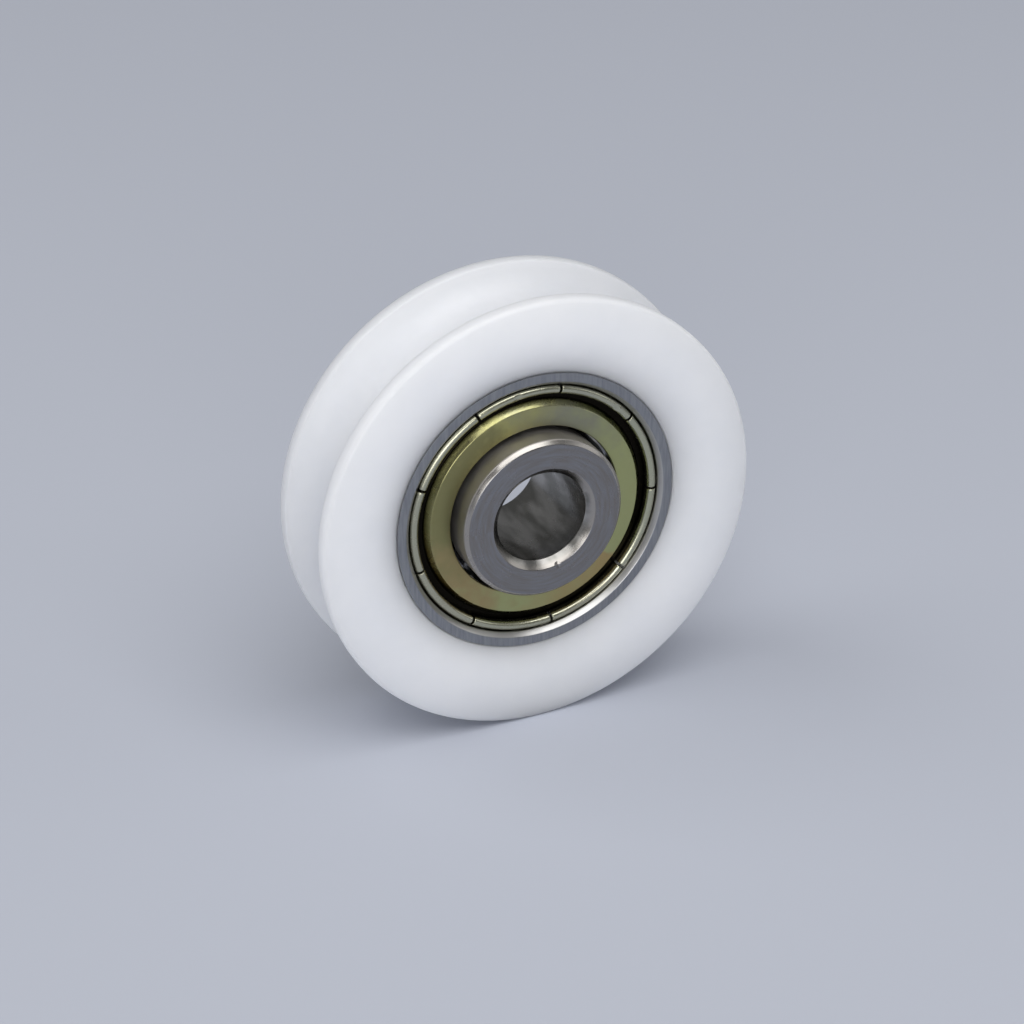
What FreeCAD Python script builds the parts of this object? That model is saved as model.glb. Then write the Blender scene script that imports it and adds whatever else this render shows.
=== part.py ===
import FreeCAD, Part
import math
import os

import Sketcher

# A grooved plastic pulley moulded round a shielded ball bearing with a wide inner ring.
# The axle line is Y, the front face looks towards -Y, and the origin is the centre of the bore.
# All lengths are millimetres, and every section is drawn as radius against distance along Y.
# The sizes build outwards from the bore, so a change of one wall or clearance moves
# everything that is stacked on it.
SIZES = {
    # inner ring
    "bore_diameter": 6.0,
    "inner_wall": 1.48,
    "hub_proud": 1.1,
    "hub_chamfer": 0.27,
    "bore_chamfer": 0.5,
    # balls and the tracks they run in
    "ball_diameter": 3.5,
    "ball_count": 6,
    "track_clearance": 0.02,
    "track_relief": 0.07,
    # height of each ring's shoulders beside the track, as a share of the ball's diameter
    "inner_shoulder_share": 0.257,
    "outer_shoulder_share": 0.205,
    # riveted ribbon cage
    "cage_sheet": 0.3,
    "cage_hub_gap": 0.25,
    "cage_shoulder_gap": 0.4,
    "pocket_clearance": 0.06,
    "rivet_diameter": 0.5,
    "rivet_head_diameter": 0.84,
    "rivet_head_height": 0.18,
    # pressed shields with a crimped, slit rim
    "shield_sheet": 0.25,
    "shield_hub_gap": 0.35,
    "shield_cage_gap": 0.31,
    "shield_recess": 0.33,
    "shield_edge_round": 0.08,
    "step_cage_gap": 0.18,
    "step_run": 0.35,
    "step_drop": 0.52,
    "step_round": 0.12,
    "channel_width": 0.43,
    "curl_sheet": 0.2,
    "curl_inner_radius": 0.09,
    "curl_rise": 0.65,
    "curl_gap": 0.1,
    "curl_flare": 0.23,
    "slit_width": 0.17,
    "slit_count": 9,
    "first_slit_angle": 1.9,
    # outer ring
    "seat_chamfer_width": 0.27,
    "seat_chamfer_depth": 0.33,
    "undercut_depth": 0.22,
    "undercut_clearance": 0.06,
    "ring_rim": 0.9575,
    "ring_corner": 0.1,
    # moulded wheel
    "hoop_wall": 2.9,
    "groove_depth": 2.1,
    "rim_land": 1.0,
    "face_proud": 0.7,
    "dish_radius": 6.0,
    "rim_round": 0.3,
    "lip_round": 0.35,
}

# Radii and distances from the middle plane that follow from the sizes above
STACK = {
    "bore_radius": "Sizes.bore_diameter / 2",
    "ball_radius": "Sizes.ball_diameter / 2",
    "track_radius": "ball_radius + Sizes.track_relief",
    "inner_shoulder": "Sizes.ball_diameter * Sizes.inner_shoulder_share",
    "outer_shoulder": "Sizes.ball_diameter * Sizes.outer_shoulder_share",
    "inner_track_bottom": "bore_radius + Sizes.inner_wall",
    "hub_radius": "inner_track_bottom + inner_shoulder",
    "pitch_radius": "inner_track_bottom + Sizes.track_clearance + ball_radius",
    "outer_track_bottom": "pitch_radius + ball_radius + Sizes.track_clearance",
    "shoulder_radius": "outer_track_bottom - outer_shoulder",
    "pocket_radius": "ball_radius + Sizes.pocket_clearance",
    "cage_reach": "pocket_radius + Sizes.cage_sheet",
    "cage_inner": "hub_radius + Sizes.cage_hub_gap",
    "cage_outer": "shoulder_radius - Sizes.cage_shoulder_gap",
    "rivet_circle": "(cage_inner + cage_outer) / 2",
    "shield_back": "cage_reach + Sizes.shield_cage_gap",
    "shield_front": "shield_back + Sizes.shield_sheet",
    "bearing_face": "shield_front + Sizes.shield_recess",
    "channel_floor": "shield_front - Sizes.step_drop",
    "seat_plane": "channel_floor - Sizes.shield_sheet",
    "shield_inner": "hub_radius + Sizes.shield_hub_gap",
    "step_top": "cage_outer + Sizes.step_cage_gap",
    "step_foot": "step_top + Sizes.step_run",
    "curl_inner": "step_foot + Sizes.channel_width",
    "curl_outer": "curl_inner + 2 * (Sizes.curl_sheet + Sizes.curl_inner_radius)",
    "curl_top": "channel_floor + Sizes.curl_rise",
    "curl_centre": "curl_top - Sizes.curl_sheet - Sizes.curl_inner_radius",
    "seat_radius": "curl_outer + Sizes.curl_gap",
    "bearing_radius": "seat_radius + Sizes.ring_rim",
    "hub_face": "bearing_face + Sizes.hub_proud",
    "wheel_face": "bearing_face + Sizes.face_proud",
    "groove_bottom": "bearing_radius + Sizes.hoop_wall",
    "wheel_radius": "groove_bottom + Sizes.groove_depth",
    "mouth_half": "wheel_face - Sizes.rim_land",
    "groove_radius": "(mouth_half ^ 2 + Sizes.groove_depth ^ 2) / (2 * Sizes.groove_depth)",
    "lip_radius": "bearing_radius - Sizes.ring_corner",
    "dish_edge": "lip_radius + sqrt(Sizes.dish_radius ^ 2 - (Sizes.dish_radius - Sizes.face_proud) ^ 2)",
}

SIDES = {"front": -1, "rear": 1}
FIRST_BALL_ANGLE = 90
MATCH = 1e-4

doc = FreeCAD.newDocument("pulley")


def make_sheet(name, rows):
    """Write one row for each value, with its name as the alias of its cell."""
    sheet = doc.addObject("Spreadsheet::Sheet", name)
    for row, (alias, content) in enumerate(rows.items(), start=1):
        sheet.set("A%d" % row, alias)
        sheet.set("B%d" % row, str(content))
        sheet.setAlias("B%d" % row, alias)
    doc.recompute()
    return sheet


sizes = make_sheet("Sizes", SIZES)
stack = make_sheet("Stack", {alias: "=" + formula for alias, formula in STACK.items()})


def value_of(expression):
    """The number that an expression on the two sheets gives now."""
    return float(sizes.evalExpression(expression))


def new_body(label):
    body = doc.addObject("PartDesign::Body", "Body_" + label)
    body.Label = label
    return body


def new_sketch(body, name, plane):
    sketch = body.newObject("Sketcher::SketchObject", name)
    origin_plane = [item for item in body.Origin.OriginFeatures if item.Role == plane][0]
    sketch.AttachmentSupport = (origin_plane, [""])
    sketch.MapMode = "FlatFace"
    return sketch


def arc_between(start, end, radius, side):
    """The short arc from start to end, with its centre left (1) or right (-1) of the chord."""
    chord = end - start
    across = FreeCAD.Vector(-chord.y, chord.x, 0).normalize()
    reach = math.sqrt(max(radius ** 2 - (chord.Length / 2) ** 2, 0))
    centre = (start + end) * 0.5 + across * (side * reach)
    first, last = (start, end) if side > 0 else (end, start)
    angles = [math.atan2(point.y - centre.y, point.x - centre.x) for point in (first, last)]
    circle = Part.Circle(centre, FreeCAD.Vector(0, 0, 1), radius)
    return Part.ArcOfCircle(circle, angles[0], angles[1])


def draw_outline(sketch, corners, arcs=None):
    """Draw a closed outline and tie each corner, and each arc's radius, to the sheets.

    corners holds pairs of expressions. arcs gives, for the number of the corner that an
    arc starts from, its radius and the side of the chord that its centre is on.
    """
    arcs = arcs or {}
    points = [FreeCAD.Vector(value_of(across), value_of(along), 0) for across, along in corners]
    count = len(points)
    ends = []
    for number, start in enumerate(points):
        end = points[(number + 1) % count]
        if number in arcs:
            radius, side = arcs[number]
            sketch.addGeometry(arc_between(start, end, value_of(radius), side), False)
            ends.append((1, 2) if side > 0 else (2, 1))
        else:
            sketch.addGeometry(Part.LineSegment(start, end), False)
            ends.append((1, 2))
    for number in range(count):
        before = (number - 1) % count
        join = Sketcher.Constraint("Coincident", before, ends[before][1], number, ends[number][0])
        sketch.addConstraint(join)
    for number, (across, along) in enumerate(corners):
        for kind, expression in (("DistanceX", across), ("DistanceY", along)):
            place = Sketcher.Constraint(kind, -1, 1, number, ends[number][0], value_of(expression))
            index = sketch.addConstraint(place)
            sketch.setExpression("Constraints[%d]" % index, expression)
    for number, (radius, side) in arcs.items():
        index = sketch.addConstraint(Sketcher.Constraint("Radius", number, value_of(radius)))
        sketch.setExpression("Constraints[%d]" % index, radius)


def revolve(body, name, corners, arcs=None):
    """Turn an outline of radius against distance along the axle line."""
    sketch = new_sketch(body, name + "_section", "XY_Plane")
    draw_outline(sketch, corners, arcs)
    turned = body.newObject("PartDesign::Revolution", name)
    turned.Profile = sketch
    turned.ReferenceAxis = (sketch, ["V_Axis"])
    turned.Angle = 360
    sketch.Visibility = False
    doc.recompute()
    return turned


def ring_edges(feature, rings):
    """Names of the circular edges of the given radius and distance along Y."""
    wanted = [(value_of(radius), value_of(along)) for radius, along in rings]
    names = []
    for number, edge in enumerate(feature.Shape.Edges, start=1):
        if not isinstance(edge.Curve, Part.Circle):
            continue
        for radius, along in wanted:
            same_radius = abs(edge.Curve.Radius - radius) < MATCH
            if same_radius and abs(edge.Curve.Center.y - along) < MATCH:
                names.append("Edge%d" % number)
    return names


def dress_edges(body, base, kind, name, size, rings):
    """Round (Fillet, Radius) or bevel (Chamfer, Size) circular edges of a turned piece."""
    dressed = body.newObject("PartDesign::" + kind, name)
    dressed.Base = (base, ring_edges(base, rings))
    dressed.setExpression("Radius" if kind == "Fillet" else "Size", size)
    doc.recompute()
    return dressed


def both_sides(ring):
    radius, along = ring
    return [(radius, along), (radius, "-(%s)" % along)]


def track_half(wall_height):
    """Half the width of a ball track where it meets a shoulder of the given height."""
    return "sqrt(Stack.track_radius ^ 2 - (Stack.track_radius - %s) ^ 2)" % wall_height


def mirrored(half):
    """Close a section that is drawn for one side of the middle plane."""
    return half + [(radius, "-(%s)" % along) for radius, along in reversed(half)]


# Inner ring: wide hub, ball track and a bevelled bore
def make_inner_ring():
    body = new_body("inner_ring")
    half = [
        ("Stack.bore_radius", "Stack.hub_face"),
        ("Stack.hub_radius", "Stack.hub_face"),
        ("Stack.hub_radius", track_half("Stack.inner_shoulder")),
    ]
    ring = revolve(body, "inner_turning", mirrored(half), {2: ("Stack.track_radius", 1)})
    hub_edges = both_sides(("Stack.hub_radius", "Stack.hub_face"))
    ring = dress_edges(body, ring, "Chamfer", "hub_bevel", "Sizes.hub_chamfer", hub_edges)
    bore_edges = both_sides(("Stack.bore_radius", "Stack.hub_face"))
    dress_edges(body, ring, "Chamfer", "bore_bevel", "Sizes.bore_chamfer", bore_edges)
    return body


# Outer ring: flat ground face, bevelled mouth, undercut shield seat and ball track
def make_outer_ring():
    body = new_body("outer_ring")
    undercut = "Stack.seat_radius + Sizes.undercut_depth"
    mouth_end = "Stack.bearing_face - Sizes.seat_chamfer_depth"
    roof_top = "Stack.curl_centre + Sizes.undercut_clearance"
    half = [
        ("Stack.shoulder_radius", track_half("Stack.outer_shoulder")),
        ("Stack.shoulder_radius", "Stack.seat_plane"),
        (undercut, "Stack.seat_plane"),
        (undercut, roof_top + " - Sizes.undercut_depth"),
        ("Stack.seat_radius", roof_top),
        ("Stack.seat_radius", mouth_end),
        ("Stack.seat_radius + Sizes.seat_chamfer_width", "Stack.bearing_face"),
        ("Stack.bearing_radius", "Stack.bearing_face"),
    ]
    closed = mirrored(half)
    ring = revolve(body, "outer_turning", closed, {len(closed) - 1: ("Stack.track_radius", 1)})
    corners = both_sides(("Stack.bearing_radius", "Stack.bearing_face"))
    dress_edges(body, ring, "Chamfer", "corner_bevel", "Sizes.ring_corner", corners)
    return body


# Shield: flat ring, sloped step, channel, and a rim curled over and spread into the undercut
def make_shield(label, side):
    body = new_body(label)
    sign = "-" if side < 0 else ""

    def at(radius, along):
        return (radius, "%s(%s)" % (sign, along))

    outer_leg_inside = "Stack.curl_outer - Sizes.curl_sheet"
    slant = "Sizes.curl_sheet * sqrt(0.5)"
    flare_end = "Stack.curl_outer + Sizes.curl_flare"
    flare_foot = "Stack.curl_centre - Sizes.curl_flare"
    fold = "Sizes.curl_sheet * (sqrt(2) - 1)"
    section = [
        at("Stack.shield_inner", "Stack.shield_front"),
        at("Stack.step_top", "Stack.shield_front"),
        at("Stack.step_foot", "Stack.channel_floor"),
        at("Stack.curl_inner", "Stack.channel_floor"),
        at("Stack.curl_inner", "Stack.curl_centre"),
        at("(Stack.curl_inner + Stack.curl_outer) / 2", "Stack.curl_top"),
        at("Stack.curl_outer", "Stack.curl_centre"),
        at(flare_end, flare_foot),
        at(flare_end + " - " + slant, flare_foot + " - " + slant),
        at(outer_leg_inside, "Stack.curl_centre - " + fold),
        at(outer_leg_inside, "Stack.curl_centre"),
        at("(Stack.curl_inner + Stack.curl_outer) / 2", "Stack.curl_top - Sizes.curl_sheet"),
        at("Stack.curl_inner + Sizes.curl_sheet", "Stack.curl_centre"),
        at("Stack.curl_inner + Sizes.curl_sheet", "Stack.seat_plane"),
        at("Stack.step_foot - Sizes.curl_inner_radius", "Stack.seat_plane"),
        at("Stack.step_top - Sizes.curl_inner_radius", "Stack.shield_back"),
        at("Stack.shield_inner", "Stack.shield_back"),
    ]
    outside = "Sizes.curl_sheet + Sizes.curl_inner_radius"
    inside = "Sizes.curl_inner_radius"
    turn = side
    arcs = {4: (outside, -turn), 5: (outside, -turn), 10: (inside, turn), 11: (inside, turn)}
    pressing = revolve(body, label + "_pressing", section, arcs)
    edge = [at("Stack.shield_inner", "Stack.shield_front")]
    pressing = dress_edges(body, pressing, "Fillet", label + "_lip", "Sizes.shield_edge_round", edge)
    step = [at("Stack.step_top", "Stack.shield_front"), at("Stack.step_foot", "Stack.channel_floor")]
    dress_edges(body, pressing, "Fillet", label + "_step", "Sizes.step_round", step)
    cut_slits(body, label, side)
    placement = FreeCAD.Placement()
    placement.Rotation = FreeCAD.Rotation(FreeCAD.Vector(0, 1, 0), value_of("Sizes.first_slit_angle"))
    body.Placement = placement
    body.setExpression("Placement.Rotation.Angle", "Sizes.first_slit_angle")
    return body


def cut_slits(body, label, side):
    """Cut the curled rim into equal tabs."""
    sketch = new_sketch(body, label + "_slit", "XZ_Plane")
    far = "Stack.bearing_radius"
    half = "Sizes.slit_width / 2"
    start = "Stack.curl_inner"
    corners = [(start, "-" + half), (far, "-" + half), (far, half), (start, half)]
    draw_outline(sketch, corners)
    slit = body.newObject("PartDesign::Pocket", label + "_slit_cut")
    slit.Profile = sketch
    slit.Type = "ThroughAll"
    slit.Reversed = side > 0
    doc.recompute()
    pattern = body.newObject("PartDesign::PolarPattern", label + "_slits")
    pattern.Originals = [slit]
    pattern.Axis = (sketch, ["N_Axis"])
    pattern.Angle = 360
    pattern.setExpression("Occurrences", "Sizes.slit_count")
    body.Tip = pattern
    sketch.Visibility = False
    doc.recompute()


# Wheel: one moulding, dished towards the bearing on both faces, with a round-bottomed groove
def make_wheel():
    body = new_body("pulley_wheel")
    half = [
        ("Stack.bearing_radius", "Stack.bearing_face - Sizes.ring_corner"),
        ("Stack.lip_radius", "Stack.bearing_face"),
        ("Stack.dish_edge", "Stack.wheel_face"),
        ("Stack.wheel_radius", "Stack.wheel_face"),
        ("Stack.wheel_radius", "Stack.mouth_half"),
    ]
    arcs = {
        1: ("Sizes.dish_radius", -1),
        4: ("Stack.groove_radius", 1),
        7: ("Sizes.dish_radius", -1),
    }
    wheel = revolve(body, "wheel_turning", mirrored(half), arcs)
    rim = both_sides(("Stack.wheel_radius", "Stack.wheel_face"))
    wheel = dress_edges(body, wheel, "Fillet", "rim_rounding", "Sizes.rim_round", rim)
    lips = both_sides(("Stack.wheel_radius", "Stack.mouth_half"))
    dress_edges(body, wheel, "Fillet", "groove_lip_rounding", "Sizes.lip_round", lips)
    return body


def place_on_circle(item, radius, angle):
    """Move an item to an angle on a circle round the axle line, counted from +X to +Z."""
    item.setExpression("Placement.Base.x", "%s * cos(%s)" % (radius, angle))
    item.setExpression("Placement.Base.z", "%s * sin(%s)" % (radius, angle))


def new_sphere(name, radius, angle, seam_side=1):
    """A sphere on the pitch circle, its poles in line with the circle's radius.

    Its seam is turned towards +Y (1) or -Y (-1), the side that a cage half has cut away.
    """
    sphere = doc.addObject("Part::Sphere", name)
    sphere.setExpression("Radius", radius)
    turn = math.radians(value_of(angle))
    outwards = FreeCAD.Vector(math.cos(turn), 0, math.sin(turn))
    seam = FreeCAD.Vector(0, seam_side, 0)
    sphere.Placement.Rotation = FreeCAD.Rotation(seam, outwards.cross(seam), outwards, "ZXY")
    place_on_circle(sphere, "Stack.pitch_radius", angle)
    return sphere


def new_round(name, kind, values, along=None, towards=1):
    """A cylinder or cone whose axis runs from its base towards +Y (1) or -Y (-1)."""
    item = doc.addObject("Part::" + kind, name)
    for field, expression in values.items():
        item.setExpression(field, expression)
    item.Placement.Rotation = FreeCAD.Rotation(FreeCAD.Vector(1, 0, 0), -90 * towards)
    if along:
        item.setExpression("Placement.Base.y", along)
    return item


def ball_angle(number):
    return "(%d + %d * 360 / Sizes.ball_count)" % (FIRST_BALL_ANGLE, number)


def rivet_angle(number):
    return "(%d + %d * 360 / Sizes.ball_count + 180 / Sizes.ball_count)" % (FIRST_BALL_ANGLE, number)


def fuse(name, items):
    fused = doc.addObject("Part::MultiFuse", name)
    fused.Shapes = items
    return fused


def cut(name, base, tool):
    result = doc.addObject("Part::Cut", name)
    result.Base = base
    result.Tool = tool
    return result


def make_balls(count):
    balls = []
    for number in range(count):
        ball = new_sphere("ball_%d" % (number + 1), "Stack.ball_radius", ball_angle(number))
        balls.append(ball)
    return balls


def make_cage_openings(label, side, count):
    """The ball pockets and the rivet holes of one cage half."""
    tools = []
    hole_size = {"Radius": "Sizes.rivet_diameter / 2", "Height": "4 * Sizes.cage_sheet"}
    for number in range(count):
        pocket_name = "%s_pocket_%d" % (label, number + 1)
        pocket = new_sphere(pocket_name, "Stack.pocket_radius", ball_angle(number), -side)
        hole_name = "%s_rivet_hole_%d" % (label, number + 1)
        hole = new_round(hole_name, "Cylinder", hole_size, "-2 * Sizes.cage_sheet")
        place_on_circle(hole, "Stack.rivet_circle", rivet_angle(number))
        tools.extend([pocket, hole])
    return fuse(label + "_openings", tools)


# Cage half: a flat ribbon with a pressed dome over each ball
def make_cage_half(label, side, count):
    reach = {"Radius": "Stack.cage_outer", "Height": "Stack.shield_back"}
    core = {"Radius": "Stack.cage_inner", "Height": "Stack.shield_back"}
    band_outside = new_round(label + "_band_outside", "Cylinder", reach, towards=side)
    band_inside = new_round(label + "_band_inside", "Cylinder", core, towards=side)
    band = cut(label + "_band", band_outside, band_inside)
    flat = {"Radius": "Stack.cage_outer", "Height": "Sizes.cage_sheet"}
    blank = [new_round(label + "_ribbon", "Cylinder", flat, towards=side)]
    for number in range(count):
        dome_name = "%s_dome_%d" % (label, number + 1)
        blank.append(new_sphere(dome_name, "Stack.cage_reach", ball_angle(number), -side))
    pressed = fuse(label + "_pressed", blank)
    trimmed = doc.addObject("Part::MultiCommon", label + "_trimmed")
    trimmed.Shapes = [band, pressed]
    half = cut("Cut_" + label, trimmed, make_cage_openings(label, side, count))
    half.Label = label
    return half


def make_rivets(count):
    """One rivet between each two balls, closed over both cage halves."""
    rivets = []
    head = {
        "Radius1": "Sizes.rivet_head_diameter / 2",
        "Radius2": "Sizes.rivet_diameter / 2",
        "Height": "Sizes.rivet_head_height",
    }
    for number in range(count):
        name = "rivet_%d" % (number + 1)
        shank_size = {"Radius": "Sizes.rivet_diameter / 2", "Height": "2 * Sizes.cage_sheet"}
        pieces = [new_round(name + "_shank", "Cylinder", shank_size, "-Sizes.cage_sheet")]
        pieces.append(new_round(name + "_front_head", "Cone", head, "-Sizes.cage_sheet", -1))
        pieces.append(new_round(name + "_rear_head", "Cone", head, "Sizes.cage_sheet", 1))
        for piece in pieces:
            place_on_circle(piece, "Stack.rivet_circle", rivet_angle(number))
        rivets.append(fuse(name, pieces))
    group = doc.addObject("Part::Compound", "Compound_cage_rivets")
    group.Links = rivets
    group.Label = "cage_rivets"
    return group


def check_document():
    """Stop if any object failed to rebuild."""
    for item in doc.Objects:
        if "Invalid" in item.State or "Error" in item.State:
            raise RuntimeError("%s did not rebuild: %s" % (item.Label, item.State))


def write_parts(parts):
    os.makedirs("parts", exist_ok=True)
    for part in parts:
        shape = part.Shape
        if shape.isNull() or not shape.isValid():
            raise RuntimeError("%s has no valid shape" % part.Label)
        print("%-14s solids %2d  volume %9.3f" % (part.Label, len(shape.Solids), shape.Volume))
        shape.exportStep(os.path.join("parts", part.Label + ".step"))


ball_total = int(value_of("Sizes.ball_count"))
sub_parts = [make_inner_ring(), make_outer_ring(), make_wheel()]
for name, direction in SIDES.items():
    sub_parts.append(make_shield("shield_" + name, direction))
for name, direction in SIDES.items():
    sub_parts.append(make_cage_half("cage_" + name, direction, ball_total))
sub_parts.append(make_rivets(ball_total))
sub_parts.extend(make_balls(ball_total))
doc.recompute()
check_document()
write_parts(sub_parts)
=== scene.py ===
"""A grooved plastic pulley on a shielded ball bearing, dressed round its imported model."""

import logging
import math
from dataclasses import dataclass, field
from enum import Enum

import bmesh
import bpy
from bmesh.types import BMEdge, BMVert
from mathutils import Matrix, Vector


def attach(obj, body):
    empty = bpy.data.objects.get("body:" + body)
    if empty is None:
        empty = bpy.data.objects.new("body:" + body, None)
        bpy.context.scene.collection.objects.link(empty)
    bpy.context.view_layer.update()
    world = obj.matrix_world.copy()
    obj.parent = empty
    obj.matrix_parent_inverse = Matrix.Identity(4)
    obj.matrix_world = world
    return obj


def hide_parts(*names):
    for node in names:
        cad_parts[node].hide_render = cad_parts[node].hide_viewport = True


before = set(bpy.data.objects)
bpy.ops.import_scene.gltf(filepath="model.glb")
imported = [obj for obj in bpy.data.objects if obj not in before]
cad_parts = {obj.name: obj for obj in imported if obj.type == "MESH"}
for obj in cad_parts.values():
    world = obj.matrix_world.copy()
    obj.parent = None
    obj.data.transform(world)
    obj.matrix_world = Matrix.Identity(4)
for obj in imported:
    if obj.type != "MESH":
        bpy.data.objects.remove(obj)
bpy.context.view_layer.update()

log = logging.getLogger("pulley")

MM = 0.001
AROUND = 288
AXLE = Vector((0.0, 1.0, 0.0))
SMOOTH_UNDER = math.radians(32.0)


class Side(Enum):
    """The two faces of the wheel, by the sign of their distance along the axle line."""

    FRONT = -1
    REAR = 1


# Shader helpers


def linear(colour: str) -> tuple[float, float, float, float]:
    """Turn a written sRGB colour into the linear values that shaders take.

    Args:
        colour: Six hex digits after a hash.

    Returns:
        Linear red, green and blue, with an alpha of 1.
    """
    parts = [int(colour[at:at + 2], 16) / 255 for at in (1, 3, 5)]
    light = [part / 12.92 if part <= 0.04045 else ((part + 0.055) / 1.055) ** 2.4 for part in parts]
    return (light[0], light[1], light[2], 1.0)


def add_node(
    tree: bpy.types.NodeTree,
    kind: str,
    settings: dict[str, object] | None = None,
    inputs: dict[str | int, object] | None = None,
) -> bpy.types.Node:
    """Add one node with its settings, its values and its links.

    Args:
        tree: The node tree that takes it.
        kind: The node's type, without its ShaderNode prefix.
        settings: Values of the node itself.
        inputs: For each socket, a value or the output socket that feeds it.

    Returns:
        The new node.
    """
    node = tree.nodes.new("ShaderNode" + kind)
    for name, value in (settings or {}).items():
        setattr(node, name, value)
    for name, value in (inputs or {}).items():
        socket = node.inputs[name]
        if isinstance(value, bpy.types.NodeSocket):
            tree.links.new(value, socket)
        else:
            socket.default_value = value
    return node


def colour_ramp(
    tree: bpy.types.NodeTree, factor: bpy.types.NodeSocket, stops: list[tuple[float, str]]
) -> bpy.types.NodeSocket:
    """Map a pattern onto a few written colours.

    Args:
        tree: The node tree that takes the ramp.
        factor: The pattern.
        stops: Places from 0 to 1 and their hex colours, in order.

    Returns:
        The ramp's colour output.
    """
    node = add_node(tree, "ValToRGB", inputs={"Fac": factor})
    elements = node.color_ramp.elements
    while len(elements) < len(stops):
        elements.new(0.5)
    for element, (place, colour) in zip(elements, stops):
        element.position = place
        element.color = linear(colour)
    return node.outputs["Color"]


@dataclass(frozen=True)
class TurnedPlace:
    """Sockets that say where a point lies on a turned piece: radius, angle and along the axle."""

    radius: bpy.types.NodeSocket
    angle: bpy.types.NodeSocket
    along: bpy.types.NodeSocket


class Paint:
    """A material under construction, read in Object coordinates."""

    def __init__(self, name: str) -> None:
        """Start an empty material of that name."""
        self.material = bpy.data.materials.new(name)
        self.material.use_nodes = True
        self.tree = self.material.node_tree
        self.tree.nodes.clear()
        self.place = add_node(self.tree, "TexCoord").outputs["Object"]

    def node(
        self,
        kind: str,
        settings: dict[str, object] | None = None,
        inputs: dict[str | int, object] | None = None,
    ) -> bpy.types.Node:
        """Add one node to this material, as add_node does."""
        return add_node(self.tree, kind, settings, inputs)

    def maths(self, operation: str, *values: object) -> bpy.types.NodeSocket:
        """Work out one operation on numbers or sockets."""
        inputs = dict(enumerate(values))
        return self.node("Math", {"operation": operation}, inputs).outputs[0]

    def turned(self) -> TurnedPlace:
        """Find each point's radius, its angle round the axle and its place along it."""
        split = self.node("SeparateXYZ", inputs={0: self.place})
        across, along, up = (split.outputs[axis] for axis in "XYZ")
        squares = self.maths("ADD", self.maths("MULTIPLY", across, across), self.maths("MULTIPLY", up, up))
        return TurnedPlace(self.maths("SQRT", squares), self.maths("ARCTAN2", up, across), along)

    def noise(
        self,
        size_mm: float,
        detail: float = 2.0,
        vector: bpy.types.NodeSocket | None = None,
        stretch: tuple[float, float, float] = (1.0, 1.0, 1.0),
        turn: tuple[float, float, float] = (0.0, 0.0, 0.0),
    ) -> bpy.types.NodeSocket:
        """A soft noise whose blotches have a real size.

        Args:
            size_mm: Width of a blotch in millimetres.
            detail: Octaves of finer noise on top.
            vector: Coordinates in metres, or the object's own.
            stretch: How many times finer the noise is along each axis.
            turn: Angles in radians that turn the stretched pattern.

        Returns:
            The noise, about 0.5 on average.
        """
        moved = self.node("Mapping", inputs={
            "Vector": vector or self.place, "Rotation": turn, "Scale": stretch,
        })
        made = self.node("TexNoise", inputs={
            "Vector": moved.outputs[0], "Scale": 1.0 / (size_mm * MM), "Detail": detail,
        })
        return made.outputs["Fac"]

    def spread(
        self, factor: bpy.types.NodeSocket, low: float, high: float,
        start: float = 0.3, end: float = 0.7,
    ) -> bpy.types.NodeSocket:
        """Spread a pattern that runs from start to end over a range of values."""
        made = self.node("MapRange", inputs={
            "Value": factor, "From Min": start, "From Max": end, "To Min": low, "To Max": high,
        })
        return made.outputs[0]

    def mixed(self, factor: object, first: object, second: object) -> bpy.types.NodeSocket:
        """Mix two colours, each a socket or linear values."""
        made = self.node("Mix", {"data_type": "RGBA"}, {0: factor, 6: first, 7: second})
        return made.outputs[2]

    def near(self, radius: float, angle: float, along: float, reach: float) -> bpy.types.NodeSocket:
        """Mark a small spot, for a nick or a dent.

        Args:
            radius: The spot's distance from the axle line in millimetres.
            angle: Its angle in degrees from +X towards +Z.
            along: Its place along the axle in millimetres.
            reach: How far from it the mark fades out, in millimetres.

        Returns:
            1 at the spot, falling to 0 at the reach.
        """
        turn = math.radians(angle)
        spot = Vector((radius * math.cos(turn), along, radius * math.sin(turn))) * MM
        away = self.node("VectorMath", {"operation": "DISTANCE"}, {0: self.place, 1: spot}).outputs["Value"]
        return self.spread(away, 1.0, 0.0, 0.25 * reach * MM, reach * MM)

    def bumped(
        self, height: bpy.types.NodeSocket, depth_mm: float, normal: bpy.types.NodeSocket | None = None
    ) -> bpy.types.NodeSocket:
        """Raise the surface by a pattern.

        Args:
            height: The pattern, from 0 to 1.
            depth_mm: Height in millimetres between its lowest and highest.
            normal: A normal to start from.

        Returns:
            The bumped normal.
        """
        inputs = {"Height": height, "Distance": depth_mm * MM, "Strength": 1.0}
        if normal:
            inputs["Normal"] = normal
        return self.node("Bump", inputs=inputs).outputs[0]

    def shaded(self, **inputs: object) -> bpy.types.Material:
        """Close the material with one Principled shader whose sockets take these values or links."""
        named = {name.replace("_", " "): value for name, value in inputs.items()}
        shader = self.node("BsdfPrincipled", inputs=named)
        self.node("OutputMaterial", inputs={"Surface": shader.outputs[0]})
        return self.material


# Finishes


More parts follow.
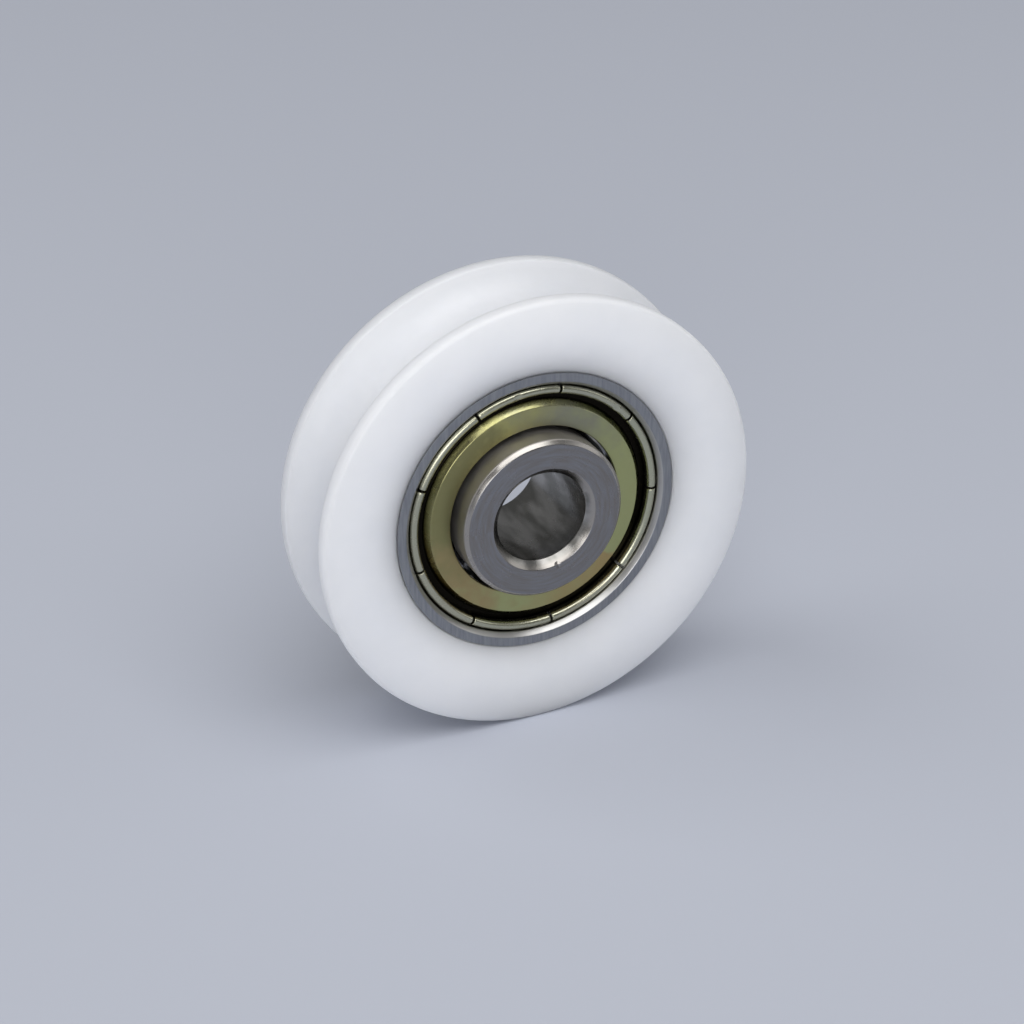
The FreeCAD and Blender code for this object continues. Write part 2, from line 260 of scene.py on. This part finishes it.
@dataclass(frozen=True)
class MouldedNylon:
    """White nylon, injection moulded: milky, so light soaks in and glows through the thin flanges."""

    colour: str = "#eaebef"
    shade: str = "#e2e4e9"
    roughness: float = 0.42
    depth_mm: float = 7.0

    def material(self) -> bpy.types.Material:
        """Make the material."""
        paint = Paint("white_nylon_moulded")
        flow = paint.noise(5.0, 3.0)
        skin = paint.noise(0.35, 2.0)
        colour = paint.mixed(paint.spread(flow, 0.0, 1.0), linear(self.colour), linear(self.shade))
        rough = paint.spread(flow, self.roughness - 0.04, self.roughness + 0.06)
        return paint.shaded(
            Base_Color=colour,
            Roughness=rough,
            Normal=paint.bumped(skin, 0.0015),
            Subsurface_Weight=1.0,
            Subsurface_Radius=(1.0, 0.98, 0.94),
            Subsurface_Scale=self.depth_mm * MM,
            IOR=1.5,
        )


@dataclass(frozen=True)
class GroundSteel:
    """Hardened bearing steel, ground: grey, with fine straight streaks from the stone and bevels painted
    lighter as a painted highlight.
    """

    colour: str = "#9b9da0"
    dark: str = "#898b90"
    # Lighter colour for the bevels and every surface below the ground face: a painted highlight.
    bevel: str = "#bdbcba"
    roughness: float = 0.33
    face: float = 3.0
    streak_mm: float = 0.16
    streak_slant: float = 38.0

    def material(self) -> bpy.types.Material:
        """Make the material."""
        paint = Paint("bearing_steel_ground")
        slant = (0.0, math.radians(self.streak_slant), 0.0)
        streaks = paint.noise(self.streak_mm, 2.0, stretch=(1.0, 1.0, 0.1), turn=slant)
        cloud = paint.noise(2.2, 3.0)
        ground = paint.mixed(paint.spread(streaks, 0.0, 1.0), linear(self.colour), linear(self.dark))
        depth = paint.maths("ABSOLUTE", paint.turned().along)
        # Painted highlight: everything below the ground face takes the lighter bevel colour.
        painted_light_zone = paint.spread(depth, 1.0, 0.0, (self.face - 0.03) * MM, (self.face - 0.01) * MM)
        colour = paint.mixed(painted_light_zone, ground, linear(self.bevel))
        rough = paint.spread(cloud, self.roughness - 0.05, self.roughness + 0.08)
        return paint.shaded(
            Base_Color=colour, Metallic=1.0, Roughness=rough,
            Normal=paint.bumped(streaks, 0.0025),
        )


@dataclass(frozen=True)
class TurnedSteel:
    """The same steel finished on the lathe: fine rings that the light follows, and a bore with painted
    light and dark reflection streaks.

    The end faces are grey; the bevels and the outer wall are painted lighter and warmer as a painted
    highlight and a painted reflection, the bevels stay smooth, and the outer wall is left rougher.
    """

    colour: str = "#8b8c90"
    warm: str = "#837f7c"
    # Lighter, warm colour for the hub's bevel and outer wall: a painted highlight with a painted warm
    # reflection.
    side: str = "#a5a19c"
    # The bore's light and dark colours are painted reflection streaks.
    bore: str = "#a3a19e"
    dark_reflection: str = "#777672"
    roughness: float = 0.24
    face: float = 4.1
    wall: float = 3.25
    outer: float = 5.34
    reflection_mm: float = 1.1
    reflection_slant: float = 20.0
    ring_mm: float = 0.13
    nick: tuple[float, float, float, float] = (3.5, 285.0, -4.08, 0.22)

    def material(self) -> bpy.types.Material:
        """Make the material."""
        paint = Paint("bearing_steel_turned")
        spot = paint.turned()
        around = paint.maths("MULTIPLY", spot.angle, 0.4 * MM)
        rings = paint.node("CombineXYZ", inputs={0: spot.radius, 1: spot.along, 2: around})
        marks = paint.noise(self.ring_mm, 2.0, vector=rings.outputs[0])
        grain = paint.noise(0.12, 2.0)
        cloud = paint.noise(1.8, 3.0)
        fine = paint.maths("ADD", paint.maths("MULTIPLY", marks, 0.7), paint.maths("MULTIPLY", grain, 0.3))
        nick = paint.near(*self.nick)
        ground = paint.mixed(paint.spread(marks, 0.0, 1.0), linear(self.colour), linear(self.warm))
        # Painted highlight: outside the bore, the hub takes the lighter warm colour.
        hub_highlight_mask = paint.spread(spot.radius, 0.0, 1.0, (self.wall - 0.1) * MM, (self.wall + 0.1) * MM)
        slant = (0.0, 0.0, math.radians(self.reflection_slant))
        # Painted reflection: slanted streaks of light and dark colour in the bore.
        reflection_pattern = paint.noise(self.reflection_mm, 2.0, stretch=(1.0, 0.3, 1.0), turn=slant)
        reflection_streaks = paint.spread(reflection_pattern, 0.0, 1.0, 0.4, 0.6)
        inside = paint.mixed(reflection_streaks, linear(self.bore), linear(self.dark_reflection))
        turned = paint.mixed(hub_highlight_mask, inside, linear(self.side))
        depth = paint.maths("ABSOLUTE", spot.along)
        # Below the end face, the painted highlight and painted reflection colours take over.
        painted_light_zone = paint.spread(depth, 1.0, 0.0, (self.face - 0.04) * MM, (self.face - 0.01) * MM)
        colour = paint.mixed(painted_light_zone, ground, turned)
        smooth = paint.spread(cloud, self.roughness - 0.06, self.roughness + 0.08)
        brushed = paint.spread(spot.radius, 0.0, 0.3, (self.outer - 0.02) * MM, self.outer * MM)
        rough = paint.maths("ADD", smooth, brushed)
        return paint.shaded(
            Base_Color=colour, Metallic=1.0, Roughness=rough,
            Normal=paint.bumped(nick, -0.05, paint.bumped(fine, 0.005)),
        )


@dataclass(frozen=True)
class YellowZinc:
    """Thin sheet steel, zinc plated and passivated yellow: olive gold with green and rosy patches.

    The step and the curled rim are smoother, the rim is painted paler, partly its own less yellow tint and
    partly a painted highlight, and everything that lies deep in the channel is painted near black as
    painted shade.
    """

    olive: str = "#8c8961"
    rosy: str = "#a3936b"
    green: str = "#a6aa7b"
    orange: str = "#aa966a"
    grey: str = "#93937f"
    gold: str = "#aba873"
    # Paler curl colour: partly the rim's own less yellow tint, partly a painted highlight.
    curl_tint_highlight: str = "#b6b6a4"
    # Near-black painted shade for everything deep in the channel.
    channel_shade: str = "#15130f"
    roughness: float = 0.4
    wander: float = 0.045
    shade_top: float = 2.34
    step: float = 7.08
    curl: float = 7.8
    dents: tuple[tuple[float, float, float, float], ...] = (
        (8.05, 98.6, -2.78, 0.34), (8.1, 47.0, -2.78, 0.3),
    )

    def patches(self) -> list[tuple[float, str]]:
        """Where each tint of the passivation lies, as degrees from +X towards +Z.

        Returns:
            The tints in order round one turn from -X, where the last meets the first.
        """
        return [
            (-180.0, self.olive), (-140.0, self.rosy), (-110.0, self.green), (-50.0, self.orange),
            (-38.0, self.green), (28.0, self.green), (66.0, self.grey), (106.0, self.gold),
            (126.0, self.olive), (180.0, self.olive),
        ]

    def material(self) -> bpy.types.Material:
        """Make the material."""
        paint = Paint("sheet_steel_yellow_zinc")
        spot = paint.turned()
        wander = paint.spread(paint.noise(1.6, 3.0), -self.wander, self.wander)
        turn = paint.maths("ADD", paint.spread(spot.angle, 0.0, 1.0, -math.pi, math.pi), wander)
        tints = [((degrees + 180.0) / 360.0, tint) for degrees, tint in self.patches()]
        bare = colour_ramp(paint.tree, turn, tints)
        depth = paint.maths("ABSOLUTE", spot.along)
        # Painted shade: deeper than the channel's top along the axle, the colour goes to near black.
        deep_shade_mask = paint.spread(depth, 1.0, 0.0, (self.shade_top - 0.12) * MM, self.shade_top * MM)
        # The curled rim is painted paler, partly its own tint and partly a painted highlight.
        pale_curl_mask = paint.spread(spot.radius, 0.0, 0.85, (self.curl - 0.1) * MM, self.curl * MM)
        pale_curl = paint.mixed(pale_curl_mask, bare, linear(self.curl_tint_highlight))
        colour = paint.mixed(deep_shade_mask, pale_curl, linear(self.channel_shade))
        grain = paint.noise(0.14, 2.0)
        normal = paint.bumped(grain, 0.004)
        for dent in self.dents:
            normal = paint.bumped(paint.near(*dent), -0.05, normal)
        cloud = paint.spread(paint.noise(0.9, 3.0), self.roughness - 0.06, self.roughness + 0.1)
        bent = paint.spread(spot.radius, 0.0, 0.18, (self.step - 0.05) * MM, self.step * MM)
        rough = paint.maths("SUBTRACT", cloud, bent)
        return paint.shaded(Base_Color=colour, Metallic=1.0, Roughness=rough, Normal=normal)


@dataclass(frozen=True)
class PressedSteel:
    """Bright cold-rolled strip, pressed and lightly oiled: smooth, with shallow rolling marks."""

    colour: str = "#9b9c9e"
    roughness: float = 0.3

    def material(self) -> bpy.types.Material:
        """Make the material."""
        paint = Paint("strip_steel_pressed")
        marks = paint.noise(0.3, 2.0, stretch=(0.2, 1.0, 1.0))
        rough = paint.spread(paint.noise(1.5), self.roughness - 0.06, self.roughness + 0.1)
        return paint.shaded(
            Base_Color=linear(self.colour), Metallic=1.0, Roughness=rough,
            Normal=paint.bumped(marks, 0.002),
        )


@dataclass(frozen=True)
class PolishedSteel:
    """Chromium steel balls, lapped: a mirror dulled by a film of grease."""

    colour: str = "#8a8c90"
    roughness: float = 0.22

    def material(self) -> bpy.types.Material:
        """Make the material."""
        paint = Paint("chromium_steel_lapped")
        film = paint.noise(0.8, 3.0)
        return paint.shaded(
            Base_Color=linear(self.colour), Metallic=1.0,
            Roughness=paint.spread(film, self.roughness, self.roughness + 0.12),
        )


# Modelling helpers


class TurnedSection:
    """An outline of radius against distance along the axle, drawn in millimetres, then turned."""

    def __init__(self, side: Side = Side.REAR) -> None:
        """Start an empty outline; on the front side every distance along the axle is negative."""
        self.mesh = bmesh.new()
        self.sign = side.value
        self.first: BMVert | None = None
        self.last: BMVert | None = None

    def point(self, radius: float, along: float) -> Vector:
        """A place on the section, in metres."""
        return Vector((radius * MM, self.sign * along * MM, 0.0))

    def line(self, radius: float, along: float) -> BMVert:
        """Draw straight on to a point, or start there.

        Args:
            radius: Distance from the axle line.
            along: Distance from the middle plane.

        Returns:
            The vertex at that point.
        """
        place = self.point(radius, along)
        if self.last is None:
            self.last = self.first = self.mesh.verts.new(place)
        else:
            made = bmesh.ops.extrude_vert_indiv(self.mesh, verts=[self.last])
            self.last = made["verts"][0]
            self.last.co = place
        return self.last

    def arc(self, centre: tuple[float, float], degrees: float, steps: int) -> BMVert:
        """Swing the last point round a centre.

        Args:
            centre: Radius and distance along the axle of the arc's centre.
            degrees: Angle of the arc, positive from the radius towards the axle's +Y on the rear side.
            steps: Number of short edges.

        Returns:
            The vertex at the arc's end.
        """
        made = bmesh.ops.spin(
            self.mesh, geom=[self.last], cent=self.point(*centre), axis=(0.0, 0.0, 1.0),
            angle=math.radians(degrees) * self.sign, steps=steps,
        )
        self.last = [item for item in made["geom_last"] if isinstance(item, BMVert)][0]
        return self.last

    def close(self) -> BMEdge:
        """Join the last point to the first."""
        return self.mesh.edges.new((self.last, self.first))

    def round_off(self, corners: list[BMVert], setback: float, segments: int = 4) -> None:
        """Round corners of the outline.

        Args:
            corners: The vertices to round.
            setback: Distance from each corner to where its rounding starts.
            segments: Number of short edges in each rounding.
        """
        bmesh.ops.bevel(
            self.mesh, geom=corners, offset=setback * MM, offset_type="OFFSET", affect="VERTICES",
            segments=segments, profile=0.5, material=-1,
        )

    def turn_full(self, steps: int = AROUND) -> bmesh.types.BMesh:
        """Turn the outline once round the axle and close the seam.

        Args:
            steps: Number of facets round the turn.

        Returns:
            The mesh, with its faces pointing outwards.
        """
        bmesh.ops.spin(
            self.mesh, geom=self.mesh.verts[:] + self.mesh.edges[:], cent=(0.0, 0.0, 0.0), axis=AXLE,
            angle=2 * math.pi, steps=steps, use_merge=True,
        )
        bmesh.ops.remove_doubles(self.mesh, verts=self.mesh.verts[:], dist=1e-7)
        bmesh.ops.recalc_face_normals(self.mesh, faces=self.mesh.faces[:])
        return self.mesh

    def turn_part(self, start: float, end: float, steps: int) -> list[BMEdge]:
        """Turn the outline through part of a circle and close both ends.

        Args:
            start: Angle of the first end, in degrees from +X towards +Z.
            end: Angle of the other end.
            steps: Number of facets between them.

        Returns:
            The edges round both ends.
        """
        whole = self.mesh.verts[:] + self.mesh.edges[:]
        outline = [item for item in whole if isinstance(item, BMEdge)]
        bmesh.ops.rotate(
            self.mesh, verts=self.mesh.verts[:], cent=(0.0, 0.0, 0.0),
            matrix=turn_matrix(start),
        )
        made = bmesh.ops.spin(
            self.mesh, geom=whole, cent=(0.0, 0.0, 0.0), axis=-AXLE,
            angle=math.radians(end - start), steps=steps,
        )
        far = [item for item in made["geom_last"] if isinstance(item, BMEdge)]
        bmesh.ops.contextual_create(self.mesh, geom=outline)
        bmesh.ops.contextual_create(self.mesh, geom=far)
        bmesh.ops.recalc_face_normals(self.mesh, faces=self.mesh.faces[:])
        return outline + far


def turn_matrix(degrees: float) -> Matrix:
    """A turn about the axle line that carries +X towards +Z."""
    return Matrix.Rotation(-math.radians(degrees), 3, AXLE)


def finished_piece(name: str, mesh: bmesh.types.BMesh, material: bpy.types.Material) -> bpy.types.Object:
    """Make an object of a mesh, smooth where it curves and crisp where it turns a corner.

    Args:
        name: The piece's name.
        mesh: Its shape, in metres, at its place.
        material: Its finish.

    Returns:
        The new object.
    """
    data = bpy.data.meshes.new(name)
    mesh.to_mesh(data)
    mesh.free()
    data.materials.append(material)
    data.polygons.foreach_set("use_smooth", [True] * len(data.polygons))
    data.set_sharp_from_angle(angle=SMOOTH_UNDER)
    piece = bpy.data.objects.new(name, data)
    bpy.context.scene.collection.objects.link(piece)
    flats = piece.modifiers.new("flat_faces", "WEIGHTED_NORMAL")
    flats.keep_sharp = True
    return piece


def hand_over(piece: bpy.types.Object, body: str, node: str) -> None:
    """Let a piece ride on a body and stand for a node."""
    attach(piece, body)
    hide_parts(node)
    triangles = sum(len(face.vertices) - 2 for face in piece.data.polygons)
    log.info("%s: %d triangles, rides on %s", piece.name, triangles, body)


# The object


@dataclass
class Wheel:
    """The moulded wheel: two dished flanges with a round-bottomed groove between them."""

    bore: float = 9.5
    lip: float = 9.4
    bearing_face: float = 3.0
    face: float = 3.7
    radius: float = 14.5
    land: float = 1.0
    groove_depth: float = 2.1
    dish_radius: float = 6.0
    rim_round: float = 0.3
    lip_round: float = 0.35
    finish: MouldedNylon = field(default_factory=MouldedNylon)

    def outline(self) -> TurnedSection:
        """Draw the section of the whole wheel, from the front bore edge round to the rear one."""
        mouth = self.face - self.land
        groove = (mouth ** 2 + self.groove_depth ** 2) / (2 * self.groove_depth)
        centre = self.radius - self.groove_depth + groove
        opening = math.degrees(math.asin(mouth / groove))
        rise = self.face - self.bearing_face
        dish_angle = math.degrees(math.acos(1 - rise / self.dish_radius))
        dish_top = self.lip + self.dish_radius * math.sin(math.radians(dish_angle))
        section = TurnedSection()
        section.line(self.bore, -self.bearing_face + 0.1)
        section.line(self.lip, -self.bearing_face)
        section.arc((dish_top, self.dish_radius - self.face), dish_angle, 14)
        rims = [section.line(self.radius, -self.face)]
        lips = [section.line(self.radius, -mouth)]
        lips.append(section.arc((centre, 0.0), -2 * opening, 56))
        rims.append(section.line(self.radius, self.face))
        section.line(dish_top, self.face)
        section.arc((dish_top, self.face - self.dish_radius), dish_angle, 14)
        section.line(self.bore, self.bearing_face - 0.1)
        section.close()
        section.round_off(rims, self.rim_round, 6)
        corner = math.radians(180.0 - (90.0 + (90.0 - opening)))
        section.round_off(lips, self.lip_round * math.tan(corner / 2), 6)
        return section

    def build(self) -> bpy.types.Object:
        """Turn the wheel and hand it over."""
        piece = finished_piece("wheel_moulding", self.outline().turn_full(), self.finish.material())
        hand_over(piece, "wheel", "pulley_wheel")
        return piece


@dataclass
class OuterRace:
    """The bearing's outer ring: a narrow ground face, a bevelled mouth and a dark seat for the shields."""

    radius: float = 9.5
    corner: float = 0.1
    face: float = 3.0
    seat: float = 8.5425
    mouth_width: float = 0.27
    mouth_depth: float = 0.33
    undercut: float = 8.7625
    roof: float = 2.57
    floor: float = 1.9
    shoulder: float = 7.3025
    track: float = 1.82
    track_bottom: float = 8.02
    edge: float = 0.04
    finish: GroundSteel = field(default_factory=GroundSteel)

    def outline(self) -> TurnedSection:
        """Draw the section of the ring, one side of the middle plane and then the other."""
        height = self.track_bottom - self.shoulder
        half_track = math.sqrt(self.track ** 2 - (self.track - height) ** 2)
        side = [
            (self.shoulder, self.floor), (self.undercut, self.floor),
            (self.undercut, self.roof - (self.undercut - self.seat)), (self.seat, self.roof),
            (self.seat, self.face - self.mouth_depth), (self.seat + self.mouth_width, self.face),
            (self.radius - self.corner, self.face), (self.radius, self.face - self.corner),
        ]
        section = TurnedSection()
        section.line(self.shoulder, half_track)
        drawn = [section.line(*corner) for corner in side]
        drawn += [section.line(radius, -along) for radius, along in reversed(side)]
        section.line(self.shoulder, -half_track)
        centre = self.track_bottom - self.track
        swing = 2 * math.degrees(math.atan2(half_track, self.shoulder - centre))
        section.arc((centre, 0.0), swing, 24)
        section.close()
        section.round_off(drawn[4:8] + drawn[8:12], self.edge, 3)
        return section

    def build(self) -> bpy.types.Object:
        """Turn the ring and hand it over."""
        piece = finished_piece("outer_race", self.outline().turn_full(), self.finish.material())
        hand_over(piece, "wheel", "outer_ring")
        return piece


@dataclass
class InnerRace:
    """The wide inner ring: a hub that stands proud on both sides, bevelled outside and in the bore."""

    bore: float = 3.0
    radius: float = 5.3795
    face: float = 4.1
    hub_bevel: float = 0.27
    bore_bevel: float = 0.5
    track: float = 1.82
    track_bottom: float = 4.48
    edge: float = 0.05
    finish: TurnedSteel = field(default_factory=TurnedSteel)

    def outline(self) -> TurnedSection:
        """Draw the section of the ring, with its ball track and four bevels."""
        height = self.radius - self.track_bottom
        half_track = math.sqrt(self.track ** 2 - (self.track - height) ** 2)
        side = [
            (self.radius, self.face - self.hub_bevel), (self.radius - self.hub_bevel, self.face),
            (self.bore + self.bore_bevel, self.face), (self.bore, self.face - self.bore_bevel),
        ]
        section = TurnedSection()
        section.line(self.radius, half_track)
        drawn = [section.line(*corner) for corner in side]
        drawn += [section.line(radius, -along) for radius, along in reversed(side)]
        section.line(self.radius, -half_track)
        centre = self.track_bottom + self.track
        swing = 2 * math.degrees(math.atan2(half_track, centre - self.radius))
        section.arc((centre, 0.0), -swing, 24)
        section.close()
        section.round_off(drawn, self.edge, 4)
        return section

    def build(self) -> bpy.types.Object:
        """Turn the ring and hand it over."""
        piece = finished_piece("inner_race", self.outline().turn_full(), self.finish.material())
        hand_over(piece, "hub", "inner_ring")
        return piece


@dataclass
class Shield:
    """A pressed dust shield: a flat ring, a sloped step, a channel, and nine curled tabs."""

    side: Side
    inner: float = 5.7295
    front: float = 2.67
    sheet: float = 0.25
    step_top: float = 7.0825
    step_foot: float = 7.4325
    channel_floor: float = 2.15
    bend: float = 0.09
    curl_inner: float = 7.8625
    curl_sheet: float = 0.2
    curl_bend: float = 0.09
    curl_rise: float = 0.65
    flare: float = 0.23
    slits: int = 9
    slit: float = 0.17
    first_slit: float = -1.9
    tab_steps: int = 34
    tab_round: float = 0.09
    step_round: float = 0.06
    finish: YellowZinc = field(default_factory=YellowZinc)

    def plate(self) -> bmesh.types.BMesh:
        """Turn the flat ring with its step and the channel's floor."""
        back = self.front - self.sheet
        seat = self.channel_floor - self.sheet
        outer = self.curl_inner + self.curl_sheet / 2
        section = TurnedSection(self.side)
        lip = section.line(self.inner, self.front)
        steps = [section.line(self.step_top, self.front), section.line(self.step_foot, self.channel_floor)]
        section.line(outer, self.channel_floor)
        section.line(outer, seat)
        section.line(self.step_foot - self.bend, seat)
        section.line(self.step_top - self.bend, back)
        section.line(self.inner, back)
        section.close()
        section.round_off([lip], 0.08, 4)
        section.round_off(steps, self.step_round, 4)
        return section.turn_full()

    def tab(self, number: int) -> bmesh.types.BMesh:
        """Turn one curled tab between two slits, with its ends eased."""
        top = self.channel_floor + self.curl_rise
        bend = self.curl_sheet + self.curl_bend
        middle = self.curl_inner + bend
        outer = middle + bend
        centre = top - bend
        slant = self.curl_sheet * math.sqrt(0.5)
        fold = self.curl_sheet * (math.sqrt(2.0) - 1.0)
        section = TurnedSection(self.side)
        section.line(self.curl_inner, self.channel_floor - self.sheet)
        section.line(self.curl_inner, centre)
        section.arc((middle, centre), -180.0, 14)
        section.line(outer + self.flare, centre - self.flare)
        section.line(outer + self.flare - slant, centre - self.flare - slant)
        section.line(outer - self.curl_sheet, centre - fold)
        section.line(outer - self.curl_sheet, centre)
        section.arc((middle, centre), 180.0, 8)
        section.line(self.curl_inner + self.curl_sheet, self.channel_floor - self.sheet)
        section.close()
        pitch = 360.0 / self.slits
        gap = math.degrees(self.slit / middle)
        start = self.first_slit + number * pitch + gap / 2
        ends = section.turn_part(start, start + pitch - gap, self.tab_steps)
        bmesh.ops.bevel(
            section.mesh, geom=ends, offset=self.tab_round * MM * 0.5, offset_type="OFFSET",
            affect="EDGES", segments=3, profile=0.5, material=-1, clamp_overlap=True,
        )
        return section.mesh

    def build(self) -> bpy.types.Object:
        """Join the plate and the tabs, and hand the shield over."""
        whole = self.plate()
        for number in range(self.slits):
            tab = self.tab(number)
            carrier = bpy.data.meshes.new("tab")
            tab.to_mesh(carrier)
            tab.free()
            whole.from_mesh(carrier)
            bpy.data.meshes.remove(carrier)
        label = self.side.name.lower()
        piece = finished_piece("dust_shield_" + label, whole, self.finish.material())
        hand_over(piece, "wheel", "shield_" + label)
        return piece


class RollingSet:
    """The balls and their riveted cage, which keep their own meshes and only take finishes."""

    def dress(self) -> None:
        """Give the cage halves, rivets and balls their materials."""
        strip, lapped = PressedSteel().material(), PolishedSteel().material()
        for name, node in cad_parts.items():
            if name.startswith("cage_"):
                self.paint(node, strip)
            elif name.startswith("ball_"):
                self.paint(node, lapped)

    def paint(self, node: bpy.types.Object, material: bpy.types.Material) -> None:
        """Put one material on all of a node."""
        node.data.materials.clear()
        node.data.materials.append(material)
        log.info("%s: own mesh, %s", node.name, material.name)


def backward(turn: float, tilt: float) -> Vector:
    """The direction from the wheel to a place in front of it, turned right and tilted up in degrees."""
    across, rise = math.radians(turn), math.radians(tilt)
    return Vector((math.sin(across) * math.cos(rise), -math.cos(across) * math.cos(rise), math.sin(rise)))


@dataclass(frozen=True)
class Lamp:
    """A soft rectangular lamp that faces the wheel: angles in degrees, sizes in metres, power in watts."""

    name: str
    turn: float
    tilt: float
    away: float
    width: float
    height: float
    watts: float

    def hang(self) -> None:
        """Hang the lamp at its distance from the wheel and turn it towards the wheel."""
        light = bpy.data.lights.new(self.name, "AREA")
        light.shape = "RECTANGLE"
        light.size = self.width
        light.size_y = self.height
        light.energy = self.watts
        lamp = bpy.data.objects.new(self.name, light)
        back = backward(self.turn, self.tilt)
        lamp.location = back * self.away
        lamp.rotation_mode = "QUATERNION"
        lamp.rotation_quaternion = (-back).to_track_quat("-Z", "Y")
        bpy.context.scene.collection.objects.link(lamp)


@dataclass
class Studio:
    """A pale floor, soft lamps and the camera of the photograph."""

    floor_colour: str = "#b4b8c3"
    ground: float = -14.5
    azimuth: float = -25.085
    elevation: float = 28.705
    distance: float = 179.354
    aside: float = 0.302
    above: float = 1.283
    focal: float = 2859.0
    pixels: float = 1024.0
    sensor: float = 36.0
    room_colour: str = "#f1f3f6"
    room_strength: float = 0.25
    lamps: tuple[Lamp, ...] = (
        Lamp("overhead_softbox", -2.0, 65.0, 0.6, 0.6, 0.5, 2.6),
        Lamp("low_fill", -24.0, 14.0, 0.7, 0.5, 0.3, 1.5),
        Lamp("rear_softbox", -115.0, 50.0, 0.7, 0.5, 0.5, 1.35),
        Lamp("side_card", 70.0, 18.0, 0.7, 0.5, 0.3, 0.35),
    )

    def lay_floor(self) -> None:
        """Lay one wide sheet of pale grey card under the wheel."""
        mesh = bmesh.new()
        bmesh.ops.create_grid(mesh, x_segments=2, y_segments=2, size=2.0)
        bmesh.ops.translate(mesh, verts=mesh.verts[:], vec=(0.0, 0.0, self.ground * MM))
        paint = Paint("floor_card")
        data = bpy.data.meshes.new("floor")
        mesh.to_mesh(data)
        mesh.free()
        data.materials.append(paint.shaded(Base_Color=linear(self.floor_colour), Roughness=0.85))
        floor = bpy.data.objects.new("floor", data)
        bpy.context.scene.collection.objects.link(floor)

    def fill_world(self) -> None:
        """Fill the room with an even soft light."""
        world = bpy.data.worlds.new("room")
        world.use_nodes = True
        world.node_tree.nodes.clear()
        sky = add_node(world.node_tree, "Background", inputs={
            "Color": linear(self.room_colour), "Strength": self.room_strength,
        })
        add_node(world.node_tree, "OutputWorld", inputs={"Surface": sky.outputs[0]})
        bpy.context.scene.world = world

    def set_camera(self) -> None:
        """Stand the camera where the photograph was taken from."""
        back = backward(self.azimuth, self.elevation)
        right = Vector((0.0, 0.0, 1.0)).cross(back).normalized()
        up = back.cross(right)
        lens = bpy.data.cameras.new("camera")
        lens.sensor_width = self.sensor
        lens.lens = self.focal / self.pixels * self.sensor
        lens.clip_start = 0.01
        camera = bpy.data.objects.new("camera", lens)
        camera.location = (back * self.distance - right * self.aside - up * self.above) * MM
        camera.rotation_mode = "QUATERNION"
        camera.rotation_quaternion = (-back).to_track_quat("-Z", "Y")
        bpy.context.scene.collection.objects.link(camera)
        bpy.context.scene.camera = camera

    def build(self) -> None:
        """Set up the floor, lamps, room and camera."""
        self.lay_floor()
        for lamp in self.lamps:
            lamp.hang()
        self.fill_world()
        self.set_camera()
        bpy.context.scene.view_settings.view_transform = "Standard"


def main() -> None:
    """Build, dress and stage the whole pulley."""
    logging.basicConfig(level=logging.INFO, format="%(name)s: %(message)s")
    Wheel().build()
    OuterRace().build()
    InnerRace().build()
    for side in Side:
        Shield(side).build()
    RollingSet().dress()
    Studio().build()


if __name__ == "__main__":
    main()
